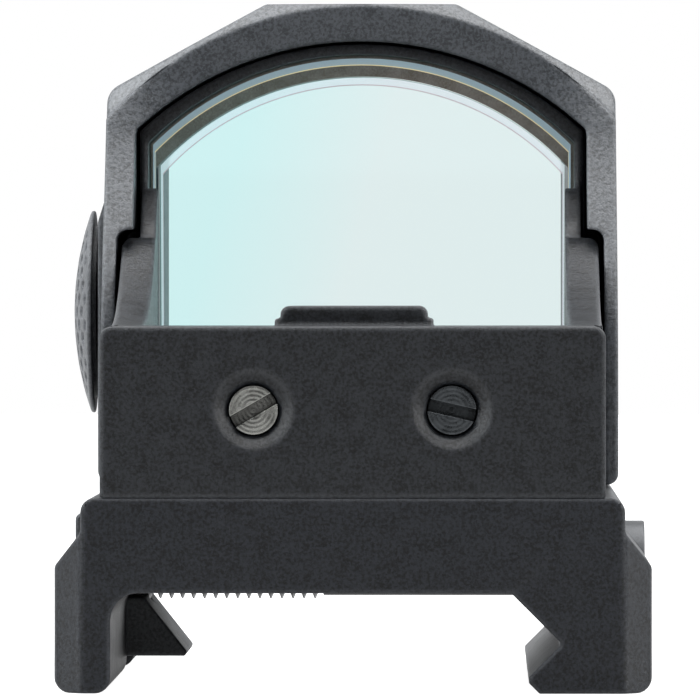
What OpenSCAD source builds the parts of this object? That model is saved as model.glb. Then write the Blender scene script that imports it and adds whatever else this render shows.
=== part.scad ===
// Compact reflex sight on a 21 mm accessory rail clamp.
// X points right as the user looks through the sight, Y points to the target, Z points up.
// The origin is the centre of the clamp's rail seat.

/* [Rail Clamp] */
// Length of the clamp along the rail
mount_length = 38; // [30:0.5:50]
// Width across the upper sides of the clamp
mount_top_width = 28; // [26:0.2:30]
// Width across the flared legs
mount_width = 30.8; // [29:0.2:34]
// Height of the top deck over the rail seat
deck_height = 4.9; // [4:0.1:8]
// Depth of the legs under the rail seat
leg_depth = 5.15; // [4.5:0.05:7]
// Half width of the groove at its deepest line
groove_half_width = 10.65; // [10.5:0.05:11]
// Distance from the centre to the tip of the fixed jaw
fixed_lip_x = 9.05; // [8.6:0.05:9.6]
// Distance from the centre to the inner wall of the left leg
left_leg_inner_x = 12.45; // [12:0.05:13.5]
// Chamfer on the upright corners of both clamp ends
end_chamfer = 1.4; // [0.5:0.1:2]

/* [Cross Bolt And Jaw] */
// Position of the cross bolt along the clamp
bolt_y = 6; // [-8:0.5:10]
// Height of the bolt axis over the rail seat
bolt_z = 0.55; // [0:0.05:1.5]
// Outer radius of the thread
bolt_crest_radius = 1.75; // [1.5:0.05:2.5]
// Radius of the plain shank
bolt_shank_radius = 1.56; // [1.2:0.02:2.3]
// Pitch of the thread
bolt_pitch = 0.6; // [0.5:0.05:1]
// Radius of the bolt head
bolt_head_radius = 2.55; // [2:0.05:3.5]
// Length of the sliding jaw along the rail
jaw_length = 10; // [6:0.5:16]

/* [Sight Body] */
// Width of the body
body_width = 26; // [24:0.2:30]
// Height of the rear block's top over the rail seat
block_top = 13.7; // [12:0.1:16]
// Length of the rear block
block_length = 12.6; // [10:0.1:16]
// Half width between the side walls
channel_half_width = 11.2; // [10:0.1:12]
// Height of the floor between the side walls
channel_floor = 9.6; // [9:0.1:11]
// Height of the side walls where they meet the hood
wall_top = 18.4; // [16:0.1:22]
// Height of the narrow posts beside the lens
post_top = 23.4; // [20:0.1:25]

/* [Hood] */
// Position of the hood's rear face at its top
hood_rear_y = 12; // [8:0.5:14]
// Length of the hood along its top
hood_length = 15; // [12:0.5:20]
// How far the foot of each leg sweeps back
hood_sweep = 6.5; // [0:0.5:8]
// Half width of the hood
hood_half_width = 14.05; // [13.8:0.05:15]
// Height of the hood's flat top
hood_top = 31.3; // [28:0.1:34]
// Half width of the flat top
hood_flat_half = 5.25; // [3:0.25:8]
// Height of the shoulder corners
hood_shoulder = 26.5; // [24:0.1:29]
// Radius of the arch inside the hood
hood_arch_radius = 18.15; // [17:0.05:20]
// Height of the centre of that arch
hood_arch_z = 11.1; // [9:0.1:13]

/* [Lens] */
// Half width of the lens
lens_half_width = 11.55; // [10:0.05:12]
// Radius of the arched upper edge
lens_arch_radius = 16.4; // [15:0.1:18]
// Height of the centre of that arch
lens_arch_z = 11.95; // [10:0.05:13]
// Backward lean of the lens in degrees
lens_tilt = 7; // [0:0.5:12]
// Thickness of the rear element
lens_rear_thickness = 1.9; // [1:0.1:3]
// Thickness of the front element
lens_front_thickness = 2.3; // [1:0.1:3]

/* [Brightness Dial] */
// Position of the dial along the sight
dial_y = 17; // [15:0.5:20]
// Height of the dial axis over the rail seat
dial_z = 14.35; // [12:0.05:16]
// Radius of the dial
dial_radius = 5.6; // [4.5:0.1:6.5]
// Radius of the domed outer face
dial_dome_radius = 12.8; // [8:0.1:20]
// Number of click positions
dial_clicks = 12; // [6:1:16]

/* [Lock Screws] */
// Distance of each lock screw from the centre
lock_x = 5.1; // [4:0.1:7]
// Height of the lock screws
lock_z = 9.4; // [8:0.1:11]
// Radius of a screw head
lock_head_radius = 1.27; // [1:0.01:1.6]
// Radius of the dished recess
lock_dish_radius = 2.05; // [1.6:0.05:2.6]
// Turn of the left slot in degrees
left_slot_angle = 30; // [-90:1:90]
// Turn of the right slot in degrees
right_slot_angle = -13; // [-90:1:90]

/* [Display] */
// Piece to draw

/* [Hidden] */
$fn = 64;

eps = 0.05;
rear_y = -mount_length / 2;
front_y = mount_length / 2;
top_half = mount_top_width / 2;
wide_half = mount_width / 2;
body_half = body_width / 2;

// flare of the clamp's sides and small edge cuts
flare_high_z = 3.1;
flare_low_z = 1.35;
deck_round = 0.75;
flare_round = 0.6;
leg_round = 0.8;
edge_round = 0.15;
groove_depth = 2.5;
groove_flat = 0.2;
lip_flat = 0.3;
leg_fillet = 1.4;

// the jaw and its pocket
jaw_gap = 0.1;
jaw_back_x = 12.6;
jaw_outer_x = 15.2;
jaw_low_z = -4.1;
jaw_high_z = 3.6;
jaw_tip_x = 9.2;
jaw_tip_z = -3.85;
jaw_crown_x = 11.3;
jaw_crown_z = -1.2;
jaw_relief_x = 10.5;
jaw_relief = 0.3;
jaw_spring_y = 3.4;
jaw_spring_z = 1.9;
jaw_spring_radius = 0.62;
jaw_spring_wire = 0.15;
jaw_spring_turns = 6;
jaw_spring_hole_radius = 0.9;
jaw_spring_hole_x = 7.5;

// the bolt along X
bolt_thread_depth = 0.35;
bolt_end_x = -15;
bolt_thread_start_x = -2;
bolt_journal_radius = 1.77;
bolt_bore_radius = 1.83;
bolt_journal_x = 9;
bolt_head_floor_x = 12.6;
bolt_head_outer_x = 15.45;
bolt_head_gap = 0.15;
bolt_channel_radius = 1.95;
bolt_slot_width = 0.9;
bolt_slot_depth = 1;

// screws between the clamp and the body
mount_screw_x = 5.8;
mount_screw_rear_y = -16.4;
mount_screw_front_y = 15;
mount_screw_radius = 1.25;
mount_screw_head_radius = 2;
mount_screw_head_top = 2;
mount_screw_head_low = 0.25;
mount_screw_tip = 7.7;
screw_gap = 0.06;
pin_radius = 1;
pin_x = 10.6;
pin_rear_y = -11;
pin_front_y = 14;
pin_low_z = 3.3;
pin_high_z = 6.5;

// battery and board cavity
cavity_half_x = 8.2;
cavity_rear_y = -5.6;
cavity_front_y = 11.2;
cavity_roof = 8.7;
battery_y = 2.8;
battery_radius = 8;
battery_height = 3.2;
battery_low_z = 4;
battery_step_radius = 6.6;
battery_step = 0.35;
contact_thickness = 0.18;
recess_radius = 8.2;
recess_floor = 3.8;
seal_gap = 0.6;
seal_width = 0.9;
seal_depth = 0.8;
board_low_z = 7.95;
board_high_z = 8.65;
board_margin = 0.2;
board_screw_x = 7;
board_screw_y = -4.6;
board_screw_radius = 0.5;
board_screw_head_radius = 0.9;
board_screw_head = 0.5;
leaf_width = 3;
leaf_thickness = 0.12;

// the adjuster cavity in the rear block
block_front_y = rear_y + block_length;
adjust_half_x = 7;
adjust_rear_y = -14;
adjust_front_y = -7.6;
adjust_roof = 12.4;
adjust_y = -11.2;
adjust_radius = 0.97;
adjust_bore = 1.02;
adjust_head_radius = 1.9;
adjust_head = 0.9;
adjust_slot_width = 0.5;
adjust_slot_depth = 0.45;
travel = 0.35;

// boss over the elevation screw
boss_half_x = 4.1;
boss_half_y = 3.6;
boss_top = 14.75;
boss_edge = 0.45;
block_round = 0.6;

// emitter carriage and its two sliders
elevation_half_x = 2.2;
elevation_rear_y = -13.2;
elevation_front_y = -9.6;
elevation_low_z = 7.6;
elevation_high_z = 9.6;
elevation_rail_y = -9;
elevation_rail_low = 8.2;
elevation_rail_high = 9;
elevation_arm_x = -6.2;
elevation_arm_front_y = -12;
elevation_arm_low = 8.3;
elevation_arm_high = 10.5;
slide_gap = 0.06;
carriage_half_x = 3;
carriage_rear_y = -9.5;
carriage_front_y = -8.2;
carriage_low_z = 7;
carriage_high_z = 11.9;
ear_outer_x = 5;
ear_rear_y = -8.9;
ear_slot_low_x = 3.6;
ear_slot_high_x = 4.4;
windage_z = 9.4;
windage_low_x = 3.1;
windage_high_x = 6.2;
windage_rear_y = -13;
windage_front_y = -9.1;
windage_half_z = 1.5;
windage_pin_x = 4;
windage_pin_radius = 0.36;
windage_tip_x = 2.5;
led_z = 11;

// optical aperture of the rear block
aperture_half_x = 1.9;
aperture_half_z = 1.05;
window_half_x = 2.5;
window_half_z = 1.25;
window_thickness = 0.5;

// lens frame inside the hood
frame_rear_y = 13;
frame_front_y = 20.8;
frame_half = 12.2;
frame_arch_radius = 18;
bond = 0.2;
lens_base_y = 16;
post_low_y = 9.4;
post_high_y = 12;
post_outer_x = 12.05;
post_round = 0.38;
wall_round = 0.55;
body_front_y = 24;
wall_ramp_end_y = 9;
lens_low_z = channel_floor + 0.1;
ramp_rise = wall_top - block_top;
ramp_run = wall_ramp_end_y - block_front_y;
ramp_radius = (pow(ramp_run, 2) + pow(ramp_rise, 2)) / (2 * ramp_rise);

// hood details
hood_low_z = 5;
hood_front_y = hood_rear_y + hood_length;
hood_leg_upper_x = 12.4;
hood_leg_lower_x = 13.3;
hood_step_z = 18.8;
hood_front_ring_y = 21;
hood_front_near_half = 11.5;
hood_front_far_half = 11.12;
hood_front_inset = 0.7;
hood_sweep_low_z = 12;
hood_sweep_high_z = 28;
hood_pad_rear_y = 11.2;
hood_front_floor = 10;
shoulder_round = 1.1;
hood_foot_round = 0.6;
hood_corner_z = 24.6;
hood_corner_slope = 36;
hood_corner_round = 1.2;
hood_boss_x = 14.45;
hood_boss_top = 20.2;
hood_rim_radius = 18.85;
hood_rim_z = 12.35;
hood_screw_y = 22.5;
hood_screw_z = 7.3;
hood_screw_radius = 0.8;
hood_screw_head_radius = 1.4;
hood_screw_head = 0.6;
hood_screw_tip_x = 10.2;

// dial and switch, measured outwards along -X
dial_back_x = 14.6;
dial_tip_x = 16;
dial_hub_radius = 1.52;
dial_shaft_outer_x = 15.2;
shaft_radius = 1.5;
shaft_bore = 1.55;
shaft_inner_x = 12.74;
switch_floor_x = 12.35;
switch_pocket_radius = 4.3;
switch_board_radius = 3.9;
switch_board_thickness = 0.25;
wiper_radius = 3.6;
wiper_thickness = 0.26;
clip_radius = 2.4;
clip_low_x = 13.06;
clip_high_x = 13.24;
oring_centre = 2.3;
oring_wire = 0.38;
oring_groove_depth = 0.7;
oring_groove_inner = 1.85;
oring_groove_outer = 2.8;
leaf_recess = 0.3;
leaf_inner_radius = 3.4;
leaf_outer_radius = 4.6;
leaf_span = 60;
click_radius = 4;
click_dimple = 0.4;
leaf_bump_radius = 0.28;
leaf_bump = 0.08;

// lock screws
lock_tip_y = -13.15;
lock_face_y = rear_y + 0.35;
lock_shank_radius = 0.9;
lock_slot_width = 0.62;
lock_slot_depth = 0.5;
lock_head = 0.9;
lock_dish_depth = 0.55;

module box(low, high) {
    translate(low)
        cube(high - low);
}

// profile drawn in X and Z, extruded from y0 to y1
module along_y(y0, y1) {
    translate([0, y1, 0])
        rotate([90, 0, 0])
            linear_extrude(y1 - y0)
                children();
}

// profile drawn in Y and Z, extruded from x0 to x1
module along_x(x0, x1) {
    translate([x0, 0, 0])
        rotate([90, 0, 90])
            linear_extrude(x1 - x0)
                children();
}

module rod_x(x0, x1, y, z, r) {
    translate([x0, y, z])
        rotate([0, 90, 0])
            cylinder(h = x1 - x0, r = r);
}

module rod_y(y0, y1, x, z, r) {
    translate([x, y1, z])
        rotate([90, 0, 0])
            cylinder(h = y1 - y0, r = r);
}

module rod_z(z0, z1, x, y, r) {
    translate([x, y, z0])
        cylinder(h = z1 - z0, r = r);
}

module both_sides() {
    children();
    mirror([1, 0, 0])
        children();
}

function unit(v) = v / norm(v);

// points [x, y, radius] joined into an outline whose corners are rounded in short steps
function rounded(p, steps = 6) = [for (i = [0:len(p) - 1])
    let (
        here = [p[i][0], p[i][1]],
        before = p[(i + len(p) - 1) % len(p)],
        after = p[(i + 1) % len(p)],
        u = unit([before[0], before[1]] - here),
        v = unit([after[0], after[1]] - here),
        half = acos(u * v) / 2,
        r = p[i][2],
        centre = here + unit(u + v) * r / sin(half),
        first = here + u * r / tan(half) - centre,
        last = here + v * r / tan(half) - centre,
        a = atan2(first[1], first[0]),
        swing = (atan2(last[1], last[0]) - a + 900) % 360 - 180
    )
    each r == 0 ? [here] : [for (k = [0:steps])
        centre + r * [cos(a + swing * k / steps), sin(a + swing * k / steps)]]];

// round wire coil standing on z = 0
module coil(radius, wire, height, turns) {
    sides = 6;
    per_turn = 12;
    steps = turns * per_turn;
    pitch = (height - 2 * wire) / turns;
    points = [for (i = [0:steps]) for (j = [0:sides - 1])
        let (a = 360 * i / per_turn, b = 360 * j / sides, r = radius + wire * cos(b))
        [r * cos(a), r * sin(a), wire + pitch * i / per_turn + wire * sin(b)]];
    walls = [for (i = [0:steps - 1]) for (j = [0:sides - 1])
        let (k = (j + 1) % sides)
        [i * sides + j, i * sides + k, (i + 1) * sides + k, (i + 1) * sides + j]];
    low_cap = [[for (j = [0:sides - 1]) sides - 1 - j]];
    high_cap = [[for (j = [0:sides - 1]) steps * sides + j]];
    polyhedron(points = points, faces = concat(walls, low_cap, high_cap));
}

module mount_profile() {
    apex_low = -groove_depth - groove_flat;
    lip_top = apex_low - (groove_half_width - fixed_lip_x);
    polygon(rounded([
        [-top_half, deck_height, deck_round],
        [-top_half, flare_high_z, flare_round],
        [-wide_half, flare_low_z, flare_round],
        [-wide_half, -leg_depth, leg_round],
        [-left_leg_inner_x, -leg_depth, leg_round],
        [-left_leg_inner_x, 0, leg_fillet],
        [groove_half_width - groove_depth, 0, edge_round],
        [groove_half_width, -groove_depth, edge_round / 2],
        [groove_half_width, apex_low, edge_round / 2],
        [fixed_lip_x, lip_top, edge_round],
        [fixed_lip_x, lip_top - lip_flat, edge_round],
        [fixed_lip_x + leg_depth + lip_top - lip_flat, -leg_depth, edge_round],
        [wide_half, -leg_depth, leg_round],
        [wide_half, flare_low_z, flare_round],
        [top_half, flare_high_z, flare_round],
        [top_half, deck_height, deck_round]
    ]));
}

module mount_plan() {
    polygon(rounded([for (c = [[-1, -1], [1, -1], [1, 1], [-1, 1]], first = [0, 1])
        let (flip = c[0] * c[1] > 0 ? first : 1 - first)
        [c[0] * (wide_half - flip * end_chamfer), c[1] * (front_y - (1 - flip) * end_chamfer), flare_round]]));
}

module mount_screw_places() {
    for (x = [-mount_screw_x, mount_screw_x], y = [mount_screw_rear_y, mount_screw_front_y])
        translate([x, y, 0])
            children();
}

module pin_places() {
    for (x = [-pin_x, pin_x], y = [pin_rear_y, pin_front_y])
        translate([x, y, 0])
            children();
}

module jaw_spring_places() {
    for (side = [-1, 1])
        translate([0, bolt_y + side * jaw_spring_y, jaw_spring_z])
            children();
}

// rectangular ring around the battery cavity, grown by g
module seal_ring(g) {
    inset = seal_gap - g;
    outset = seal_gap + seal_width + g;
    difference() {
        translate([-cavity_half_x - outset, cavity_rear_y - outset])
            square([2 * (cavity_half_x + outset), cavity_front_y - cavity_rear_y + 2 * outset]);
        translate([-cavity_half_x - inset, cavity_rear_y - inset])
            square([2 * (cavity_half_x + inset), cavity_front_y - cavity_rear_y + 2 * inset]);
    }
}

// the clamp's one-piece body with its fixed jaw
module mount_base() {
    pocket = jaw_length / 2 + jaw_gap;
    color([0.16, 0.17, 0.18])
        difference() {
            intersection() {
                along_y(rear_y, front_y)
                    mount_profile();
                translate([0, 0, -leg_depth - 1])
                    linear_extrude(leg_depth + deck_height + 2)
                        mount_plan();
            }
            // pocket for the sliding jaw
            box([-wide_half - 1, bolt_y - pocket, -leg_depth - 1],
                [-jaw_back_x + jaw_gap, bolt_y + pocket, jaw_high_z + jaw_gap]);
            // relief of the seat over the jaw's hook
            box([-jaw_back_x - 1, bolt_y - pocket, -leg_depth],
                [-jaw_relief_x, bolt_y + pocket, jaw_relief]);
            // open channel for the bolt across the seat
            rod_x(-jaw_back_x - 1, bolt_journal_x - 0.1, bolt_y, bolt_z, bolt_channel_radius);
            // bore and counterbore on the right
            rod_x(bolt_journal_x - 1, wide_half + 1, bolt_y, bolt_z, bolt_bore_radius);
            rod_x(bolt_head_floor_x, wide_half + 1, bolt_y, bolt_z, bolt_head_radius + bolt_head_gap);
            jaw_spring_places()
                rod_x(-jaw_back_x - 1, -jaw_spring_hole_x, 0, 0, jaw_spring_hole_radius);
            mount_screw_places() {
                rod_z(-1, deck_height + 1, 0, 0, mount_screw_radius + screw_gap);
                rod_z(-1, mount_screw_head_top, 0, 0, mount_screw_head_radius + screw_gap);
            }
            pin_places()
                rod_z(pin_low_z, deck_height + 1, 0, 0, pin_radius);
            rod_z(recess_floor, deck_height + 1, 0, battery_y, recess_radius);
            translate([0, 0, deck_height - seal_depth])
                linear_extrude(seal_depth + 1)
                    seal_ring(eps);
        }
}

// sliding jaw that pulls in under the rail's left edge
module clamp_jaw() {
    color([0.2, 0.21, 0.22])
        difference() {
            along_y(bolt_y - jaw_length / 2, bolt_y + jaw_length / 2)
                polygon(rounded([
                    [-jaw_outer_x, jaw_high_z, 0.4],
                    [-jaw_back_x, jaw_high_z, 0],
                    [-jaw_back_x, jaw_crown_z + 0.25, 0],
                    [-jaw_crown_x - 0.2, jaw_crown_z + 0.25, edge_round],
                    [-jaw_crown_x, jaw_crown_z, edge_round],
                    [-jaw_tip_x, jaw_tip_z, edge_round],
                    [-jaw_tip_x - 0.1, jaw_low_z, edge_round],
                    [-jaw_outer_x, jaw_low_z, 0.4]
                ]));
            rod_x(-jaw_outer_x - 1, -jaw_crown_x + 2, bolt_y, bolt_z, bolt_crest_radius + eps);
        }
}

// thread profile of revolution along +X, from the thread's start back to the bolt's end
module bolt_thread() {
    length = bolt_thread_start_x - bolt_end_x;
    count = floor(length / bolt_pitch);
    root = bolt_crest_radius - bolt_thread_depth;
    outline = concat(
        [[0, 0], [root, 0]],
        [for (i = [0:count - 1]) for (p = [
            [root, i + 0.08], [bolt_crest_radius, i + 0.42],
            [bolt_crest_radius, i + 0.58], [root, i + 0.92]])
            [p[0], p[1] * bolt_pitch]],
        [[root, length], [0, length]]);
    translate([bolt_end_x, bolt_y, bolt_z])
        rotate([0, 90, 0])
            rotate_extrude()
                polygon(outline);
}

module cross_bolt() {
    color([0.3, 0.31, 0.33])
        difference() {
            union() {
                bolt_thread();
                rod_x(bolt_thread_start_x - eps, bolt_journal_x + eps, bolt_y, bolt_z, bolt_shank_radius);
                rod_x(bolt_journal_x, bolt_head_floor_x + eps, bolt_y, bolt_z, bolt_journal_radius);
                rod_x(bolt_head_floor_x + eps / 2, bolt_head_outer_x, bolt_y, bolt_z, bolt_head_radius);
            }
            box([bolt_head_outer_x - bolt_slot_depth, bolt_y - bolt_slot_width / 2, bolt_z - 4],
                [bolt_head_outer_x + 1, bolt_y + bolt_slot_width / 2, bolt_z + 4]);
        }
}

module jaw_springs() {
    length = jaw_back_x - jaw_spring_hole_x;
    color([0.75, 0.76, 0.78])
        jaw_spring_places()
            translate([-jaw_back_x + eps / 2, 0, 0])
                rotate([0, 90, 0])
                    coil(jaw_spring_radius, jaw_spring_wire, length - eps, jaw_spring_turns);
}

module mount_screws() {
    color([0.3, 0.31, 0.33])
        mount_screw_places()
            difference() {
                union() {
                    rod_z(mount_screw_head_low, mount_screw_head_top, 0, 0, mount_screw_head_radius);
                    rod_z(mount_screw_head_top - eps, mount_screw_tip, 0, 0, mount_screw_radius);
                }
                rod_z(mount_screw_head_low - 1, mount_screw_head_low + 0.9, 0, 0, 1, $fn = 6);
            }
}

module locating_pins() {
    color([0.75, 0.76, 0.78])
        pin_places()
            rod_z(pin_low_z, pin_high_z, 0, 0, pin_radius);
}

module battery_seal() {
    color([0.08, 0.08, 0.08])
        translate([0, 0, deck_height - seal_depth + eps])
            linear_extrude(seal_depth - eps)
                seal_ring(0);
}

// outline of the lens seen along the sight, grown by g
module lens_outline(g) {
    intersection() {
        translate([-lens_half_width - g, lens_low_z - g])
            square([2 * (lens_half_width + g), 30]);
        translate([0, lens_arch_z])
            circle(lens_arch_radius + g);
    }
}

// outline of the frame that carries the lens
module frame_outline() {
    intersection() {
        translate([-frame_half, channel_floor - 1])
            square([2 * frame_half, 30]);
        translate([0, hood_arch_z])
            circle(frame_arch_radius);
    }
}

// layer of the leaning lens between two depths
module lens_layer(near, far) {
    intersection() {
        along_y(frame_rear_y - 1, frame_front_y + 2)
            lens_outline(0);
        translate([0, lens_base_y, lens_low_z])
            rotate([lens_tilt, 0, 0])
                box([-20, near, -5], [20, far, 30]);
    }
}

// side wall that sweeps up from the rear block to the hood
module side_wall() {
    difference() {
        union() {
            along_x(channel_half_width, body_half)
                polygon([
                    [block_front_y - 1, deck_height],
                    [frame_front_y, deck_height],
                    [frame_front_y, wall_top],
                    [block_front_y - 1, wall_top]
                ]);
            // narrow post whose rear face leans forward
            intersection() {
                along_y(post_low_y, frame_rear_y + 1)
                    polygon(rounded([
                        [channel_half_width, wall_top - 1, 0],
                        [post_outer_x, wall_top - 1, 0],
                        [post_outer_x, post_top, post_round],
                        [channel_half_width, post_top, post_round]
                    ]));
                along_x(channel_half_width - 1, body_half)
                    polygon(rounded([
                        [post_low_y, wall_top - 1, 0],
                        [frame_rear_y + 1, wall_top - 1, 0],
                        [frame_rear_y + 1, post_top + 1, 0],
                        [post_high_y, post_top + 1, 0],
                        [post_high_y, post_top - 0.6, wall_round],
                        [post_low_y, wall_top, wall_round]
                    ]));
            }
        }
        // hollow sweep of the top edge
        rod_x(channel_half_width - 1, body_half + 1, block_front_y, block_top + ramp_radius, ramp_radius);
        box([channel_half_width - 1, block_front_y - 2, block_top], [body_half + 1, block_front_y, wall_top + 1]);
        // rounded outer top corner
        along_y(block_front_y, frame_front_y + 1)
            difference() {
                translate([body_half - wall_round, wall_top - wall_round])
                    square(wall_round + 1);
                translate([body_half - wall_round, wall_top - wall_round])
                    circle(wall_round);
            }
    }
}

module block_profile() {
    polygon(rounded([
        [-body_half, deck_height, edge_round],
        [body_half, deck_height, edge_round],
        [body_half, block_top, block_round],
        [-body_half, block_top, block_round]
    ]));
}

module boss_profile() {
    foot = 0.3;
    polygon(rounded([
        [-boss_half_x, block_top - 1, 0],
        [boss_half_x, block_top - 1, 0],
        [boss_half_x, block_top + 0.35, edge_round],
        [boss_half_x - foot, block_top + boss_edge, edge_round],
        [boss_half_x - foot, boss_top, boss_edge],
        [-boss_half_x + foot, boss_top, boss_edge],
        [-boss_half_x + foot, block_top + boss_edge, edge_round],
        [-boss_half_x, block_top + 0.35, edge_round]
    ]));
}

module lock_screw_hole(side) {
    x = side * lock_x;
    rod_y(rear_y - 1, adjust_rear_y + 1, x, lock_z, lock_shank_radius + eps);
    rod_y(rear_y - 1, lock_face_y + lock_head, x, lock_z, lock_head_radius + eps);
    translate([x, rear_y + lock_dish_depth, lock_z])
        rotate([90, 0, 0])
            cylinder(h = lock_dish_depth + 0.01, r1 = lock_head_radius + eps, r2 = lock_dish_radius);
}

// housing with rear block, side walls and lens frame
module sight_body() {
    color([0.17, 0.18, 0.19])
        difference() {
            union() {
                along_y(rear_y, block_front_y)
                    block_profile();
                along_y(adjust_y - boss_half_y, adjust_y + boss_half_y)
                    boss_profile();
                box([-body_half, block_front_y - 1, deck_height], [body_half, body_front_y, channel_floor]);
                both_sides()
                    side_wall();
                along_y(frame_rear_y, frame_front_y)
                    frame_outline();
            }
            // seat of the lens, open towards the target
            along_y(frame_rear_y - 0.5, body_front_y + 1)
                lens_outline(bond);
            // cavity for the battery and the board
            box([-cavity_half_x, cavity_rear_y, deck_height - 1], [cavity_half_x, cavity_front_y, cavity_roof]);
            // cavity for the adjusters
            box([-adjust_half_x, adjust_rear_y, deck_height - 1], [adjust_half_x, adjust_front_y, adjust_roof]);
            // optical aperture and the step of its window
            box([-aperture_half_x, adjust_front_y - 1, led_z - aperture_half_z],
                [aperture_half_x, block_front_y + 1, led_z + aperture_half_z]);
            box([-window_half_x, block_front_y - window_thickness, led_z - window_half_z],
                [window_half_x, block_front_y + 1, led_z + window_half_z]);
            // elevation screw through the roof
            rod_z(adjust_roof - 1, boss_top + 1, 0, adjust_y, adjust_bore);
            rod_z(boss_top - adjust_head - 0.1, boss_top + 1, 0, adjust_y, adjust_head_radius + eps);
            // windage screw through the right wall
            rod_x(adjust_half_x - 1, body_half + 1, adjust_y, windage_z, adjust_bore);
            rod_x(body_half - adjust_head - 0.1, body_half + 1, adjust_y, windage_z, adjust_head_radius + eps);
            // seat of the windage spring in the left wall
            rod_x(-adjust_half_x - 2, -adjust_half_x + 1, (carriage_rear_y + carriage_front_y) / 2, windage_z, 0.75);
            lock_screw_hole(-1);
            lock_screw_hole(1);
            mount_screw_places()
                rod_z(deck_height - 1, mount_screw_tip + 0.3, 0, 0, mount_screw_radius);
            pin_places()
                rod_z(deck_height - 1, pin_high_z + 0.2, 0, 0, pin_radius + 0.02);
            for (x = [-board_screw_x, board_screw_x])
                rod_z(cavity_roof - 1, cavity_roof + 0.6, x, board_screw_y, board_screw_radius);
            both_sides()
                rod_x(hood_screw_tip_x - 0.2, body_half + 1, hood_screw_y, hood_screw_z, hood_screw_radius);
            // pocket of the rotary switch in the left wall
            rod_x(-body_half - 1, -switch_floor_x, dial_y, dial_z, switch_pocket_radius);
        }
}

module hood_outline() {
    polygon(rounded([
        [-hood_half_width, hood_low_z, hood_foot_round],
        [-hood_half_width + 0.05, hood_shoulder, shoulder_round],
        [-hood_flat_half, hood_top, hood_foot_round],
        [hood_flat_half, hood_top, hood_foot_round],
        [hood_half_width - 0.05, hood_shoulder, shoulder_round],
        [hood_half_width, hood_low_z, hood_foot_round]
    ]));
}

// raised pad of the left leg, around the dial
module hood_pad() {
    polygon(rounded([
        [-hood_leg_lower_x, hood_low_z, 0],
        [-hood_leg_lower_x, hood_boss_top + 0.5, 0],
        [-hood_half_width + 0.05, hood_boss_top + 0.5, 0],
        [-hood_boss_x, hood_boss_top - 0.9, hood_foot_round],
        [-hood_boss_x, hood_low_z, hood_foot_round]
    ]));
}

module hood_inner() {
    polygon(rounded([
        [-hood_leg_lower_x, 0, 0],
        [hood_leg_lower_x, 0, 0],
        [hood_leg_lower_x, hood_step_z, hood_foot_round],
        [0, hood_step_z + 1, 0],
        [-hood_leg_lower_x, hood_step_z, hood_foot_round]
    ]));
    intersection() {
        translate([-hood_leg_upper_x, 0])
            square([2 * hood_leg_upper_x, 40]);
        translate([0, hood_arch_z])
            circle(hood_arch_radius);
        // soft corner where the arch meets the legs
        polygon(rounded([
            [-hood_leg_upper_x, 0, 0],
            [hood_leg_upper_x, 0, 0],
            [hood_leg_upper_x, hood_corner_z, hood_corner_round],
            [0, hood_corner_z + hood_leg_upper_x * tan(hood_corner_slope), 0],
            [-hood_leg_upper_x, hood_corner_z, hood_corner_round]
        ]));
    }
}

// window in the hood's front ring, a little narrower towards the target
module hood_front_opening() {
    near = hood_front_ring_y - 1;
    far = hood_front_y + 1;
    intersection() {
        along_y(near, far)
            intersection() {
                translate([-20, hood_front_floor])
                    square([40, 30]);
                translate([0, lens_arch_z])
                    circle(lens_arch_radius - hood_front_inset);
            }
        linear_extrude(hood_top)
            polygon([
                [-hood_front_near_half, near], [hood_front_near_half, near],
                [hood_front_near_half, hood_front_ring_y], [hood_front_far_half, hood_front_y],
                [hood_front_far_half, far], [-hood_front_far_half, far],
                [-hood_front_far_half, hood_front_y], [-hood_front_near_half, hood_front_ring_y]
            ]);
    }
    along_y(near, far)
        translate([-hood_leg_lower_x, 0])
            square([2 * hood_leg_lower_x, hood_front_floor + eps]);
}

function smooth(u) = u * u * (3 - 2 * u);

// side view of the hood, whose rear edge sweeps back towards the foot
module hood_side() {
    steps = 24;
    polygon(concat(
        [[hood_rear_y - hood_sweep, hood_low_z - 1], [hood_front_y, hood_low_z - 1],
            [hood_front_y, hood_top + 1], [hood_rear_y, hood_top + 1]],
        [for (i = [steps:-1:0]) let (u = i / steps)
            [hood_rear_y - hood_sweep * (1 - smooth(u)),
                hood_sweep_low_z + u * (hood_sweep_high_z - hood_sweep_low_z)]]));
}

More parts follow.
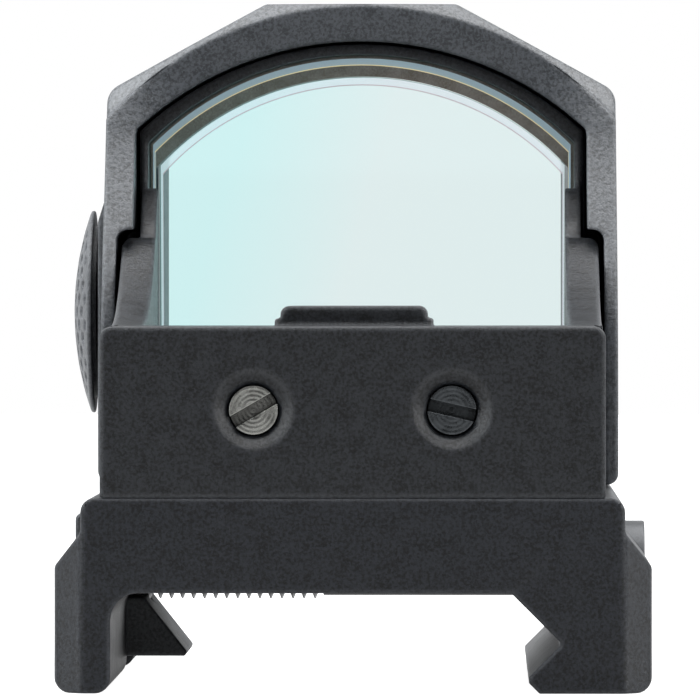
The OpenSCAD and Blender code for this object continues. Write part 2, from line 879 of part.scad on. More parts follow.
// guard over the lens
module protective_hood() {
    rise = hood_length;
    foot_y = hood_rear_y - hood_sweep;
    color([0.19, 0.2, 0.21])
        difference() {
            intersection() {
                union() {
                    along_y(foot_y, hood_front_y)
                        hood_outline();
                    // raised pad around the dial
                    along_y(hood_pad_rear_y, hood_front_y)
                        hood_pad();
                }
                along_x(-20, 20)
                    hood_side();
                // rear rim that opens towards the front
                union() {
                    rod_y(foot_y - 1, hood_rear_y + eps, 0, hood_rim_z, hood_rim_radius);
                    translate([0, hood_rear_y, hood_rim_z])
                        rotate([-90, 0, 0])
                            cylinder(h = rise, r1 = hood_rim_radius, r2 = hood_rim_radius + rise);
                }
            }
            along_y(foot_y - 1, hood_front_ring_y)
                hood_inner();
            hood_front_opening();
            // bearing of the dial shaft, groove of its seal and recess of the click spring
            rod_x(-hood_boss_x - 1, -hood_leg_lower_x + 1, dial_y, dial_z, shaft_bore);
            difference() {
                rod_x(-hood_boss_x - 1, -hood_boss_x + oring_groove_depth, dial_y, dial_z, oring_groove_outer);
                rod_x(-hood_boss_x - 1, -hood_boss_x + oring_groove_depth + 1, dial_y, dial_z, oring_groove_inner);
            }
            translate([-hood_boss_x - 1, dial_y, dial_z])
                rotate([90, 0, 90])
                    linear_extrude(1 + leaf_recess)
                        leaf_outline(eps);
            both_sides() {
                rod_x(hood_leg_lower_x - 1, hood_boss_x + 1, hood_screw_y, hood_screw_z, hood_screw_radius + screw_gap);
                rod_x(hood_leg_lower_x + 0.2, hood_boss_x + 1, hood_screw_y, hood_screw_z, hood_screw_head_radius + screw_gap);
            }
        }
}

module hood_screws() {
    seat_x = hood_leg_lower_x + 0.2;
    color([0.3, 0.31, 0.33])
        both_sides()
            difference() {
                union() {
                    rod_x(seat_x, seat_x + hood_screw_head, hood_screw_y, hood_screw_z, hood_screw_head_radius);
                    rod_x(hood_screw_tip_x, seat_x + eps, hood_screw_y, hood_screw_z, hood_screw_radius);
                }
                rod_x(seat_x + 0.2, seat_x + 2, hood_screw_y, hood_screw_z, 0.6, $fn = 6);
            }
}

module lens_rear() {
    color([0.75, 0.92, 0.93, 0.5])
        lens_layer(0, lens_rear_thickness);
}

module lens_front() {
    color([0.8, 0.95, 0.95, 0.5])
        lens_layer(lens_rear_thickness + 0.005, lens_rear_thickness + lens_front_thickness);
}

module lens_bond() {
    color([0.06, 0.06, 0.06])
        along_y(frame_rear_y + 1.2, frame_front_y - 0.4)
            difference() {
                lens_outline(bond);
                lens_outline(0);
            }
}

module emitter_window() {
    color([0.85, 0.9, 0.9, 0.4])
        box([-window_half_x + 0.02, block_front_y - window_thickness, led_z - window_half_z + 0.02],
            [window_half_x - 0.02, block_front_y, led_z + window_half_z - 0.02]);
}

// carries the LED, moves sideways and up and down
module emitter_carriage() {
    color([0.55, 0.45, 0.2])
        difference() {
            union() {
                box([-carriage_half_x, carriage_rear_y, carriage_low_z],
                    [carriage_half_x, carriage_front_y, carriage_high_z]);
                box([carriage_half_x - 1, ear_rear_y, carriage_low_z],
                    [ear_outer_x, carriage_front_y, carriage_high_z]);
            }
            box([-ear_outer_x - 1, carriage_rear_y - 1, elevation_rail_low - slide_gap],
                [ear_outer_x + 1, elevation_rail_y + slide_gap, elevation_rail_high + slide_gap]);
            box([ear_slot_low_x, ear_rear_y - 1, carriage_low_z + 0.7],
                [ear_slot_high_x, carriage_front_y + 1, carriage_high_z - 0.7]);
        }
}

module led_emitter() {
    color([0.9, 0.85, 0.75])
        difference() {
            box([-0.8, carriage_front_y, led_z - 0.5], [0.8, carriage_front_y + 0.35, led_z + 0.5]);
            rod_y(carriage_front_y + 0.2, carriage_front_y + 1, 0, led_z, 0.3);
        }
}

module elevation_slider() {
    color([0.6, 0.6, 0.58])
        difference() {
            union() {
                box([-elevation_half_x, elevation_rear_y, elevation_low_z],
                    [elevation_half_x, elevation_front_y, elevation_high_z]);
                box([-elevation_half_x, elevation_front_y - 0.5, elevation_rail_low],
                    [elevation_half_x, elevation_rail_y, elevation_rail_high]);
                box([elevation_arm_x, windage_rear_y, elevation_arm_low],
                    [-elevation_half_x + 0.5, elevation_arm_front_y, elevation_high_z]);
                box([elevation_arm_x, windage_rear_y, elevation_arm_low],
                    [-elevation_half_x - 0.6, elevation_arm_front_y, elevation_arm_high]);
            }
            rod_z(elevation_low_z - 1, elevation_high_z + 1, 0, adjust_y, adjust_bore);
        }
}

module windage_slider() {
    color([0.6, 0.6, 0.58])
        difference() {
            union() {
                box([windage_low_x, windage_rear_y, windage_z - windage_half_z],
                    [windage_high_x, windage_front_y, windage_z + windage_half_z]);
                rod_y(windage_front_y - 0.5, carriage_front_y - 0.05, windage_pin_x, windage_z, windage_pin_radius);
            }
            rod_x(windage_low_x - 1, windage_high_x + 1, adjust_y, windage_z, adjust_bore);
        }
}

module elevation_screw() {
    head_low = boss_top - 0.1 - adjust_head + 0.05;
    color([0.7, 0.71, 0.73])
        difference() {
            union() {
                rod_z(elevation_low_z - 0.8, head_low + eps, 0, adjust_y, adjust_radius);
                rod_z(head_low, boss_top - 0.1, 0, adjust_y, adjust_head_radius);
            }
            box([-3, adjust_y - adjust_slot_width / 2, boss_top - 0.1 - adjust_slot_depth],
                [3, adjust_y + adjust_slot_width / 2, boss_top + 1]);
        }
}

module windage_screw() {
    head_low = body_half - 0.1 - adjust_head + 0.05;
    color([0.7, 0.71, 0.73])
        difference() {
            union() {
                rod_x(windage_tip_x, head_low + eps, adjust_y, windage_z, adjust_radius);
                rod_x(head_low, body_half - 0.1, adjust_y, windage_z, adjust_head_radius);
            }
            box([body_half - 0.1 - adjust_slot_depth, adjust_y - adjust_slot_width / 2, windage_z - 3],
                [body_half + 1, adjust_y + adjust_slot_width / 2, windage_z + 3]);
        }
}

module elevation_spring() {
    color([0.75, 0.76, 0.78])
        translate([0, adjust_y, elevation_high_z + 0.01])
            coil(1.45, 0.17, adjust_roof - elevation_high_z - 0.02, 4);
}

module windage_spring() {
    length = adjust_half_x + 2 - carriage_half_x;
    color([0.75, 0.76, 0.78])
        translate([-adjust_half_x - 2 + 0.01, (carriage_rear_y + carriage_front_y) / 2, windage_z])
            rotate([0, 90, 0])
                coil(0.5, 0.12, length - 0.02, 8);
}

// slotted lock screw with its tip close to a slider
module lock_screw(side, angle) {
    color([0.72, 0.72, 0.7])
        difference() {
            union() {
                rod_y(lock_face_y, lock_face_y + lock_head - eps, side * lock_x, lock_z, lock_head_radius);
                rod_y(lock_face_y + 0.1, lock_tip_y, side * lock_x, lock_z, lock_shank_radius);
            }
            translate([side * lock_x, lock_face_y, lock_z])
                rotate([0, -angle, 0])
                    box([-3, -1, -lock_slot_width / 2], [3, lock_slot_depth, lock_slot_width / 2]);
        }
}

module lock_screw_left() {
    lock_screw(-1, left_slot_angle);
}

module lock_screw_right() {
    lock_screw(1, right_slot_angle);
}

module circuit_board() {
    color([0.1, 0.35, 0.18])
        difference() {
            union() {
                box([-cavity_half_x + board_margin, cavity_rear_y + board_margin, board_low_z],
                    [cavity_half_x - board_margin, cavity_front_y - board_margin, board_high_z - 0.1]);
                // small parts on its upper face
                box([2, 4, board_high_z - 0.2], [5, 6.5, board_high_z]);
                box([-5, 0, board_high_z - 0.2], [-3, 3, board_high_z]);
            }
            for (x = [-board_screw_x, board_screw_x])
                rod_z(board_low_z - 1, board_high_z + 1, x, board_screw_y, board_screw_radius + screw_gap);
        }
}

module board_screws() {
    color([0.75, 0.76, 0.78])
        for (x = [-board_screw_x, board_screw_x])
            difference() {
                union() {
                    rod_z(board_low_z - board_screw_head, board_low_z, x, board_screw_y, board_screw_head_radius);
                    rod_z(board_low_z - eps, cavity_roof + 0.5, x, board_screw_y, board_screw_radius);
                }
                box([x - 2, board_screw_y - 0.15, board_low_z - board_screw_head - 1],
                    [x + 2, board_screw_y + 0.15, board_low_z - board_screw_head + 0.25]);
            }
}

// stepped coin cell
module battery() {
    color([0.8, 0.81, 0.83])
        union() {
            rod_z(battery_low_z, battery_low_z + battery_height - battery_step, 0, battery_y, battery_radius);
            rod_z(battery_low_z + 1, battery_low_z + battery_height, 0, battery_y, battery_step_radius);
        }
}

module battery_contact() {
    color([0.85, 0.7, 0.35])
        union() {
            rod_z(recess_floor, recess_floor + contact_thickness, 0, battery_y, battery_radius - 0.3);
        }
}

// bent leaf between the cell and the board
module battery_leaf() {
    low = battery_low_z + battery_height + 0.01;
    high = board_low_z - 0.01;
    color([0.85, 0.7, 0.35])
        along_x(-leaf_width / 2, leaf_width / 2)
            polygon([
                [battery_y - 4, high - leaf_thickness],
                [battery_y - 2, high - leaf_thickness],
                [battery_y, low],
                [battery_y + 1.2, low],
                [battery_y + 2.2, low + 0.3],
                [battery_y + 2.1, low + 0.3 + leaf_thickness],
                [battery_y + 1.1, low + leaf_thickness],
                [battery_y + 0.1, low + leaf_thickness],
                [battery_y - 1.9, high],
                [battery_y - 4, high]
            ]);
}

module switch_board() {
    color([0.1, 0.35, 0.18])
        rod_x(-switch_floor_x - switch_board_thickness, -switch_floor_x, dial_y, dial_z, switch_board_radius);
}

// domed dial with click dimples in its back
module brightness_dial() {
    dome_centre_x = -dial_tip_x + dial_dome_radius;
    color([0.13, 0.14, 0.15])
        difference() {
            intersection() {
                rod_x(-dial_tip_x - 1, -dial_back_x, dial_y, dial_z, dial_radius);
                translate([dome_centre_x, dial_y, dial_z])
                    sphere(dial_dome_radius, $fn = 180);
            }
            rod_x(-dial_shaft_outer_x, -dial_back_x + 1, dial_y, dial_z, shaft_radius);
            for (i = [0:dial_clicks - 1])
                translate([-dial_back_x, dial_y, dial_z])
                    rotate([360 * i / dial_clicks, 0, 0])
                        rod_x(-click_dimple, 1, 0, click_radius, click_dimple, $fn = 24);
        }
}

module dial_shaft() {
    color([0.7, 0.71, 0.73])
        difference() {
            rod_x(-dial_shaft_outer_x, -shaft_inner_x, dial_y, dial_z, shaft_radius);
            difference() {
                rod_x(-clip_high_x, -clip_low_x, dial_y, dial_z, shaft_radius + 1);
                rod_x(-clip_high_x - 1, -clip_low_x + 1, dial_y, dial_z, shaft_radius - 0.2);
            }
        }
}

// turning contact disc of the rotary switch
module wiper_disc() {
    outer_x = shaft_inner_x + wiper_thickness;
    color([0.85, 0.7, 0.35])
        difference() {
            rod_x(-outer_x, -shaft_inner_x, dial_y, dial_z, wiper_radius);
            rod_x(-outer_x - 1, -shaft_inner_x + 1, dial_y, dial_z, shaft_radius);
            for (a = [0, 120, 240])
                translate([0, dial_y, dial_z])
                    rotate([a, 0, 0])
                        rod_x(-outer_x - 1, -shaft_inner_x + 1, 0, 2.55, 0.6);
        }
}

module dial_clip() {
    color([0.3, 0.31, 0.33])
        difference() {
            rod_x(-clip_high_x + 0.01, -clip_low_x - 0.01, dial_y, dial_z, clip_radius);
            rod_x(-clip_high_x - 1, -clip_low_x + 1, dial_y, dial_z, shaft_radius - 0.19);
            box([-clip_high_x - 1, dial_y - 0.7, dial_z - 4], [-clip_low_x + 1, dial_y + 0.7, dial_z]);
        }
}

module dial_oring() {
    color([0.06, 0.06, 0.06])
        translate([-hood_boss_x + oring_wire - 0.12, dial_y, dial_z])
            rotate([0, 90, 0])
                rotate_extrude()
                    translate([oring_centre, 0])
                        circle(oring_wire, $fn = 24);
}

module leaf_outline(g) {
    reach = 2 * leaf_outer_radius;
    half = leaf_span / 2 + 2 * g;
    intersection() {
        difference() {
            circle(leaf_outer_radius + g);
            circle(leaf_inner_radius - g);
        }
        polygon([[0, 0], [reach * sin(half), reach * cos(half)], [-reach * sin(half), reach * cos(half)]]);
    }
}

// curved leaf whose bump meets the dimples
module detent_leaf() {
    thickness = 0.16;
    color([0.75, 0.76, 0.78])
        union() {
            translate([-hood_boss_x + leaf_recess - thickness - 0.01, dial_y, dial_z])
                rotate([90, 0, 90])
                    linear_extrude(thickness)
                        leaf_outline(-0.05);
            rod_x(-hood_boss_x - leaf_bump, -hood_boss_x + leaf_recess - thickness / 2,
                dial_y, dial_z + click_radius, leaf_bump_radius);
        }
}

mount_base();
clamp_jaw();
cross_bolt();
jaw_springs();
mount_screws();
locating_pins();
battery_seal();
sight_body();
protective_hood();
hood_screws();
lens_rear();
lens_front();
lens_bond();
emitter_window();
emitter_carriage();
led_emitter();
windage_screw();
windage_slider();
windage_spring();
elevation_screw();
elevation_slider();
elevation_spring();
lock_screw_left();
lock_screw_right();
circuit_board();
board_screws();
battery();
battery_contact();
battery_leaf();
switch_board();
brightness_dial();
dial_shaft();
wiper_disc();
dial_clip();
dial_oring();
detent_leaf();
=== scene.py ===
import math

import bmesh
import bpy
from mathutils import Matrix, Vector
from mathutils.bvhtree import BVHTree


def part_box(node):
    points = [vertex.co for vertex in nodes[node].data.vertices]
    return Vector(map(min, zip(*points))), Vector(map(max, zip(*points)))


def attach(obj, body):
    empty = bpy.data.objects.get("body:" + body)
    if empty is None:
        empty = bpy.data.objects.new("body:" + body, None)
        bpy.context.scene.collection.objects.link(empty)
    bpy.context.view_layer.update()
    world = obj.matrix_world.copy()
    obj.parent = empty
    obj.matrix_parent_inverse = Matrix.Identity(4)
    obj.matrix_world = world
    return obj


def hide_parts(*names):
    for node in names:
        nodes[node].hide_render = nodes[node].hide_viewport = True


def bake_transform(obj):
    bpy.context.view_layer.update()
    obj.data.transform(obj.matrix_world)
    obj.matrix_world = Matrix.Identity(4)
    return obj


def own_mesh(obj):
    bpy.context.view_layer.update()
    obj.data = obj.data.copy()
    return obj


MM = 0.001

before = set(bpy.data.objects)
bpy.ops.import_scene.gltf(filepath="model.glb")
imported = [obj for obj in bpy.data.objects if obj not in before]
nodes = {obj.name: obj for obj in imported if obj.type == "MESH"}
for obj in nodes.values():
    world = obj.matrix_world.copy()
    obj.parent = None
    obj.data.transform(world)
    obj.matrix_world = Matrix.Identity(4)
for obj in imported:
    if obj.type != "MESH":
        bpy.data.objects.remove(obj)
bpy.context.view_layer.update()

# Places and sizes that follow the CAD model, in millimetres.
LENS_HALF = 11.55
LENS_RADIUS = 16.4
LENS_CENTRE_Z = 11.95
LENS_LOW_Z = 9.7
LENS_BASE_Y = 16
LENS_TILT = math.radians(7)
LENS_REAR = 1.9
LENS_FRONT = 2.3
DIAL_RADIUS, DIAL_NECK = 5.6, 4.75
DIAL_FLANGE_X, DIAL_BACK_X, DIAL_TIP_X, DIAL_SHAFT_X = -15.05, -14.84, -15.99, -14.62
DIAL_Y, DIAL_Z = 17, 14.35
BOLT_Y, BOLT_Z = 6, 0.55
BOLT_PITCH, BOLT_ROOT, BOLT_CREST = 0.6, 1.38, 1.75
THREAD_LOW_X, THREAD_HIGH_X = -15.0, -1.9
JAW_SPRING_OFFSET, JAW_SPRING_Z = 3.4, 1.9
ADJUST_Y = -11.2
LOCK_X, LOCK_Z = 5.1, 9.4
CELL_Y = 2.8
FLOOR_Z = -5.17

# Which edges of a copied CAD node are rounded, which stay crisp and which are flat, in degrees.
EDGE_ANGLE = 36
SMOOTH_ANGLE = 38
FLAT_ANGLE = 0.4

# How near two points are welded, and how short an edge is dropped, in metres.
WELD = 2e-6
TINY = 1e-6


# ---------------------------------------------------------------- materials

def add(tree, kind, inputs=None, **settings):
    """A new shader node, with its settings and its inputs set or linked."""
    n = tree.nodes.new(kind)
    for key, value in settings.items():
        setattr(n, key, value)
    for key, value in (inputs or {}).items():
        if isinstance(value, bpy.types.NodeSocket):
            tree.links.new(value, n.inputs[key])
        else:
            n.inputs[key].default_value = value
    return n


def math_node(tree, operation, a, b=0.0, clamp=False):
    return add(tree, "ShaderNodeMath", {0: a, 1: b}, operation=operation, use_clamp=clamp).outputs[0]


def noise(tree, place, size, detail=2.0, rough=0.5):
    """Noise whose blotches are about size metres across."""
    return add(tree, "ShaderNodeTexNoise",
               {"Vector": place, "Scale": 1 / size, "Detail": detail, "Roughness": rough}).outputs["Fac"]


def ramp(tree, factor, stops):
    """A colour that follows factor through stops, each a position and a colour."""
    n = add(tree, "ShaderNodeValToRGB", {"Fac": factor})
    points = n.color_ramp.elements
    while len(points) < len(stops):
        points.new(0.5)
    for point, (position, colour) in zip(points, stops):
        point.position = position
        point.color = (*colour, 1)
    return n.outputs["Color"]


def grey(level):
    return (level, level, level)


def scaled(values, share):
    return tuple(v * share for v in values)


def blended(tree, a, b, share):
    """The sum of a and b, weighted by share and 1 - share."""
    return math_node(tree, "ADD", math_node(tree, "MULTIPLY", a, share), math_node(tree, "MULTIPLY", b, 1 - share))


def vector_node(tree, operation, a, b=None):
    inputs = {0: a} if b is None else {0: a, 1: b}
    return add(tree, "ShaderNodeVectorMath", inputs, operation=operation)


def material(name):
    """A new material with its tree, its output node and its object coordinates."""
    m = bpy.data.materials.new(name)
    m.use_nodes = True
    tree = m.node_tree
    tree.nodes.clear()
    out = tree.nodes.new("ShaderNodeOutputMaterial")
    place = tree.nodes.new("ShaderNodeTexCoord").outputs["Object"]
    return m, tree, out, place


def principled(tree, out, inputs):
    surface = add(tree, "ShaderNodeBsdfPrincipled", inputs).outputs["BSDF"]
    tree.links.new(surface, out.inputs["Surface"])


def bump(tree, height, strength, distance, facing=None):
    """The normal facing, or the surface's own, roughened by height."""
    inputs = {"Height": height, "Strength": strength, "Distance": distance}
    if facing is not None:
        inputs["Normal"] = facing
    return add(tree, "ShaderNodeBump", inputs).outputs["Normal"]


def coated(name, dark, light, rough=0.46, wear_and_highlight=0.5, shine=0.5, soft=0.00032):
    """Bead-blasted, anodised aluminium: fine speckle, soft mottling, slightly paler edges from rubbed wear and partly a
    painted highlight.

    soft is how far the edges look rounded, in metres, and wear_and_highlight is how much paler the edges get: partly
    the dark layer they have lost, partly a painted highlight."""
    grain, depth, rub_and_highlight_gain = 0.0002, 0.00005, 12.0
    m, tree, out, place = material(name)
    speck = noise(tree, place, grain, 3, 0.7)
    mottle = noise(tree, place, grain * 5, 3)
    both = blended(tree, speck, mottle, 0.75)
    sparse = math_node(tree, "POWER", math_node(tree, "MULTIPLY", noise(tree, place, grain * 0.8, 1), 1.45), 9.0, True)
    spots = math_node(tree, "ADD", both, math_node(tree, "MULTIPLY", sparse, 0.35))
    colour = ramp(tree, spots, [(0.43, dark), (0.60, light)])
    glint = ramp(tree, spots, [(0.43, grey(0.86 * shine)), (0.62, grey(1.08 * shine))])
    # an edge is where the rounded normal turns away from the surface's own
    corner = add(tree, "ShaderNodeBevel", {"Radius": soft}, samples=4).outputs["Normal"]
    facing = add(tree, "ShaderNodeNewGeometry").outputs["Normal"]
    same = vector_node(tree, "DOT_PRODUCT", corner, facing).outputs["Value"]
    edge = math_node(tree, "MULTIPLY", math_node(tree, "SUBTRACT", 1.0, same, True), rub_and_highlight_gain, True)
    # paler edges: partly rubbed wear, partly a painted highlight along the rounded edges
    rubbed_and_highlit = math_node(tree, "MULTIPLY", math_node(tree, "MULTIPLY", edge, speck), wear_and_highlight, True)
    pale = tuple(3.2 * c + 0.05 for c in light)
    mixed = add(tree, "ShaderNodeMix", {0: rubbed_and_highlit, 6: colour, 7: (*pale, 1)}, data_type="RGBA")
    gloss = math_node(tree, "ADD", math_node(tree, "MULTIPLY", mottle, 0.16), rough - 0.08)
    principled(tree, out, {
        "Base Color": mixed.outputs[2], "Roughness": gloss, "Metallic": 0.0,
        "Specular IOR Level": glint, "Normal": bump(tree, speck, 0.6, depth, corner)})
    return m


def turned(name, colour, rough, centre=None, axis="X", ring=0.00022):
    """Turned steel: tool rings round centre, seen along axis, faint stains, and painted shade where a slot is cut in.

    A piece without a centre is drawn or stamped, and has fine scratches only."""
    depth, stained_share, painted_shade_reach = 0.000004, 0.55, 0.0006
    m, tree, out, place = material(name)
    stains = noise(tree, place, 0.0005, 4, 0.6)
    scratch = noise(tree, place, 0.00006, 2)
    height = scratch
    if centre is not None:
        offset = vector_node(tree, "SUBTRACT", place, scaled(centre, MM)).outputs[0]
        across = tuple(0 if a == axis else 1 for a in "XYZ")
        flat = vector_node(tree, "MULTIPLY", offset, across).outputs[0]
        distance = vector_node(tree, "LENGTH", flat).outputs["Value"]
        rings = math_node(tree, "SINE", math_node(tree, "MULTIPLY", distance, 2 * math.pi / ring))
        height = math_node(tree, "ADD", math_node(tree, "MULTIPLY", rings, 0.5),
                           math_node(tree, "MULTIPLY", scratch, 0.6))
    # painted shade: the colour darkens where the surface is hemmed in, as in a screw's slot
    open_sky = add(tree, "ShaderNodeAmbientOcclusion", {"Distance": painted_shade_reach}, samples=8).outputs["AO"]
    slot_painted_shade = ramp(tree, open_sky, [(0.45, grey(0.08)), (0.95, grey(1))])
    stained = ramp(tree, stains, [(0.3, scaled(colour, stained_share)), (0.7, colour)])
    shade = add(tree, "ShaderNodeMix", {0: 1.0, 6: stained, 7: slot_painted_shade}, data_type="RGBA",
                blend_type="MULTIPLY").outputs[2]
    gloss = math_node(tree, "ADD", math_node(tree, "MULTIPLY", stains, 0.25), rough - 0.1)
    principled(tree, out, {"Base Color": shade, "Metallic": 1.0, "Roughness": gloss,
                           "Normal": bump(tree, height, 0.6, depth)})
    return m


def moulded(name, dark, light, rough, grain=0.0001, metallic=0.0):
    """Rubber, lacquer, plating or ceramic: fine grain with a little colour variation."""
    m, tree, out, place = material(name)
    fine = noise(tree, place, grain, 3)
    wide = noise(tree, place, grain * 12, 2)
    colour = ramp(tree, blended(tree, fine, wide, 0.5), [(0.35, dark), (0.65, light)])
    gloss = math_node(tree, "ADD", math_node(tree, "MULTIPLY", wide, 0.2), rough - 0.1)
    principled(tree, out, {"Base Color": colour, "Roughness": gloss, "Metallic": metallic,
                           "Normal": bump(tree, fine, 0.4, 0.00001)})
    return m


def board_finish(name):
    """Green solder mask over copper tracks."""
    m, tree, out, place = material(name)
    tracks = add(tree, "ShaderNodeTexBrick", {
        "Vector": place, "Scale": 700.0, "Mortar Size": 0.012, "Color1": (0.01, 0.09, 0.035, 1),
        "Color2": (0.012, 0.11, 0.04, 1), "Mortar": (0.05, 0.22, 0.07, 1)}, offset=0.37)
    principled(tree, out, {"Base Color": tracks.outputs["Color"], "Roughness": 0.32,
                           "Coat Weight": 0.4, "Normal": bump(tree, noise(tree, place, 0.0002), 0.3, 0.00001)})
    return m


def clear_glass(name, tint, mirror, corner):
    """Coated glass: what is behind it stays in place, tinted a little, under a faint reflection.

    corner is the tint towards the upper left."""
    m, tree, out, place = material(name)
    cloud = math_node(tree, "MULTIPLY", noise(tree, place, 0.012, 1), 0.2)
    slant = vector_node(tree, "DOT_PRODUCT", place, (-110, 0, 33)).outputs["Value"]
    sweep = math_node(tree, "SUBTRACT", math_node(tree, "ADD", slant, cloud), 0.75)
    shade = ramp(tree, sweep, [(0.0, tint), (0.9, corner)])
    through = add(tree, "ShaderNodeBsdfTransparent", {"Color": shade}).outputs[0]
    shine = add(tree, "ShaderNodeBsdfGlossy", {"Color": (*mirror, 1), "Roughness": 0.05}).outputs[0]
    fresnel = add(tree, "ShaderNodeFresnel", {"IOR": 1.5}).outputs[0]
    share = math_node(tree, "MULTIPLY", fresnel, 0.12, True)
    mix = add(tree, "ShaderNodeMixShader", {0: share, 1: through, 2: shine}).outputs[0]
    tree.links.new(mix, out.inputs["Surface"])
    return m


def frosted_painted_light(name, colour, glow, clear):
    """Ground glass edge that scatters the light of the room; its colour and glow are painted light, standing in for the
    reflections and lit surfaces seen in the lens's edges.

    glow is a painted glow for the light led in through the glass, and clear is the share that passes straight on."""
    m, tree, out, place = material(name)
    grit = noise(tree, place, 0.00005, 2)
    shade = ramp(tree, grit, [(0.3, scaled(colour, 0.92)), (0.7, colour)])
    diffuse = add(tree, "ShaderNodeBsdfDiffuse", {"Color": shade}).outputs[0]
    scatter = add(tree, "ShaderNodeBsdfTranslucent", {"Color": shade}).outputs[0]
    both = add(tree, "ShaderNodeMixShader", {0: 0.55, 1: diffuse, 2: scatter}).outputs[0]
    through = add(tree, "ShaderNodeBsdfTransparent", {"Color": (*colour, 1)}).outputs[0]
    mix = add(tree, "ShaderNodeMixShader", {0: clear, 1: both, 2: through}).outputs[0]
    # painted glow: the edge emits light though it is no lamp
    emit = add(tree, "ShaderNodeEmission", {"Color": shade, "Strength": glow}).outputs[0]
    total = add(tree, "ShaderNodeAddShader", {0: mix, 1: emit}).outputs[0]
    tree.links.new(total, out.inputs["Surface"])
    return m


HOUSING = coated("housing", (0.0002, 0.0003, 0.0006), (0.0060, 0.0075, 0.0100), rough=0.42, wear_and_highlight=0.9, shine=0.38,
                 soft=0.0004)
CLAMP = coated("clamp", (0.0002, 0.0003, 0.0007), (0.0046, 0.0062, 0.0095), rough=0.42, wear_and_highlight=0.8, shine=0.36)
HOOD = coated("hood", (0.0065, 0.0085, 0.011), (0.029, 0.0335, 0.040), rough=0.42, wear_and_highlight=0.3, shine=0.7)
JAW = coated("jaw", (0.005, 0.006, 0.007), (0.018, 0.021, 0.025))
DIAL = coated("dial", (0.016, 0.018, 0.021), (0.046, 0.050, 0.057), rough=0.42, wear_and_highlight=0.2, shine=0.7)
BLACK_STEEL = moulded("black_steel", (0.12, 0.123, 0.13), (0.24, 0.245, 0.255), 0.34, 0.00008, 0.6)
BOLT_STEEL = moulded("bolt_steel", (0.030, 0.032, 0.035), (0.062, 0.065, 0.070), 0.40, 0.00008, 0.35)
THREAD = turned("thread_steel", (0.30, 0.30, 0.31), 0.34, (0, BOLT_Y, BOLT_Z), "X", 0.00012)
BRIGHT_LEFT = turned("bright_steel_left", (0.33, 0.33, 0.31), 0.22, (-LOCK_X, 0, LOCK_Z), "Y")
# the right lock screw's steel is a darker copy of the left's: painted shade
LOCK_STEEL_PAINTED_SHADE = turned("lock_steel_right_painted_shade", (0.085, 0.092, 0.098), 0.26, (LOCK_X, 0, LOCK_Z), "Y")
ADJUSTER_UP = turned("adjuster_steel_up", (0.34, 0.34, 0.33), 0.34, (0, ADJUST_Y, 0), "Z")
ADJUSTER_SIDE = turned("adjuster_steel_side", (0.36, 0.36, 0.35), 0.34, (0, ADJUST_Y, LOCK_Z), "X")
SPRING_STEEL = turned("spring_steel", (0.62, 0.62, 0.62), 0.26)
SLIDER_STEEL = turned("slider_steel", (0.50, 0.49, 0.46), 0.36)
BRASS = turned("contact_brass", (0.80, 0.60, 0.28), 0.28)
CELL = turned("cell_steel", (0.70, 0.71, 0.72), 0.25, (0, CELL_Y, 0), "Z", 0.0004)
RUBBER = moulded("seal_rubber", (0.008, 0.008, 0.008), (0.016, 0.016, 0.016), 0.72, 0.00012)
BOND = moulded("bond_black", (0.20, 0.135, 0.105), (0.36, 0.28, 0.25), 0.6)
CERAMIC = moulded("led_clear", (0.70, 0.66, 0.55), (0.85, 0.82, 0.72), 0.35)
BOARD = board_finish("board_green")
GLASS = clear_glass("lens_glass", (0.930, 0.962, 0.962), (0.55, 0.75, 0.8), (0.890, 0.970, 0.970))
GLASS_PLAIN = clear_glass("window_glass", (0.94, 0.97, 0.965), (0.9, 0.9, 0.9), (0.948, 0.978, 0.973))
# painted light: each band's colour and glow stand in for a reflection or a lit surface seen at the lens's edges; the
# side band is the lit inner wall seen through the glass
EDGE_CYAN = frosted_painted_light("lens_edge_cyan", (0.52, 0.66, 0.74), 0.22, 0.2)
EDGE_WHITE = frosted_painted_light("lens_edge_white", (0.93, 0.92, 0.96), 0.55, 0.3)
EDGE_SIDE = frosted_painted_light("lens_edge_side", (0.42, 0.56, 0.55), 0.08, 0.35)
EDGE_YELLOW = frosted_painted_light("lens_edge_yellow", (0.80, 0.70, 0.42), 0.45, 0.1)
EDGE_PINK = frosted_painted_light("lens_edge_pink", (0.82, 0.66, 0.72), 0.4, 0.2)


# ------------------------------------------------------------------- meshes

def finish_mesh(mesh, sharp):
    """Smooth shading, with edges over sharp degrees kept crisp."""
    mesh.polygons.foreach_set("use_smooth", [True] * len(mesh.polygons))
    mesh.set_sharp_from_angle(angle=math.radians(sharp))


def place_piece(obj, body, slot, *replaced):
    """Joins obj to a body and hides the nodes it stands for; slot, the finish, is not used. A piece without a body is
    left unjoined.
    """
    if body:
        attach(obj, body)
    if replaced:
        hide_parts(*replaced)
    return obj


def show(name, data):
    """A new object of data, such as a mesh or a light, in the scene."""
    obj = bpy.data.objects.new(name, data)
    bpy.context.scene.collection.objects.link(obj)
    return obj


def mesh_piece(name, verts, faces, finish, body, slot, *replaced, sharp, kinds=None):
    """An object of verts in millimetres. finish is one material, or several picked by kinds, one number a face."""
    mesh = bpy.data.meshes.new(name)
    mesh.from_pydata([[c * MM for c in v] for v in verts], [], faces)
    for m in finish if isinstance(finish, (list, tuple)) else [finish]:
        mesh.materials.append(m)
    if kinds:
        mesh.polygons.foreach_set("material_index", kinds)
    bm = bmesh.new()
    bm.from_mesh(mesh)
    bmesh.ops.recalc_face_normals(bm, faces=bm.faces)
    bm.to_mesh(mesh)
    bm.free()
    finish_mesh(mesh, sharp)
    return place_piece(show(name, mesh), body, slot, *replaced)


